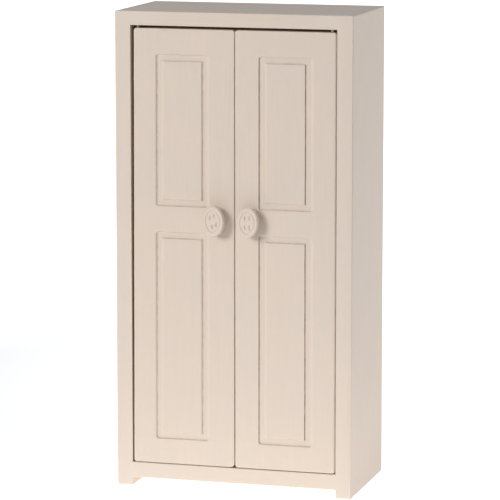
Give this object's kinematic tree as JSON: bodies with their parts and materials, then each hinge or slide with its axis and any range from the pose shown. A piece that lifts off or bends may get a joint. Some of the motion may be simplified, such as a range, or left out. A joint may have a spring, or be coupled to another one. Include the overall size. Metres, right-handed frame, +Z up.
{
  "type": "miniature wardrobe",
  "caption": "Miniature dolls' house wardrobe with raised-panel doors on pin hinges, oval button knobs, an inner shelf and a clothes rail.",
  "frame": {"origin": "on the surface the wardrobe stands on, in the middle of the outline that its case and knobs make together", "axes": "+Z up, front with the doors towards -Y, +X to the right seen from the front"},
  "size_m": [0.0966, 0.057, 0.1909],
  "materials": {
    "painted_wood": "satin cream paint on wood, lightly brushed",
    "painted_knob": "satin cream paint",
    "back_board": "thin matt cream paint on thin board",
    "bare_wood": "bare sanded wood",
    "pin_steel": "dulled drawn wire"
  },
  "bodies": {
    "case": {"left_side_panel": "painted_wood", "right_side_panel": "painted_wood", "top_board": "painted_wood", "bottom_board": "painted_wood", "back_panel": "back_board", "shelf": "bare_wood", "door_stop_strip": "bare_wood", "clothes_rail": "bare_wood", "left_door_top_pin": "pin_steel", "left_door_bottom_pin": "pin_steel", "right_door_top_pin": "pin_steel", "right_door_bottom_pin": "pin_steel", "back_brad_1": "pin_steel", "back_brad_2": "pin_steel", "back_brad_3": "pin_steel", "back_brad_4": "pin_steel", "back_brad_5": "pin_steel", "back_brad_6": "pin_steel", "back_brad_7": "pin_steel", "back_brad_8": "pin_steel", "back_brad_9": "pin_steel", "back_brad_10": "pin_steel"},
    "left_door": {"left_door": "painted_wood", "left_knob": "painted_knob", "left_knob_peg": "painted_knob"},
    "right_door": {"right_door": "painted_wood", "right_knob": "painted_knob", "right_knob_peg": "painted_knob"}
  },
  "joints": [
    {"name": "left_door_hinge", "type": "hinge", "parent": "case", "child": "left_door", "pos_m": [-0.03907, -0.022, 0.09705], "axis": [0, 0, -1], "range_deg": [0, 110]},
    {"name": "right_door_hinge", "type": "hinge", "parent": "case", "child": "right_door", "pos_m": [0.03975, -0.022, 0.09705], "axis": [0, 0, 1], "range_deg": [0, 110]}
  ]
}
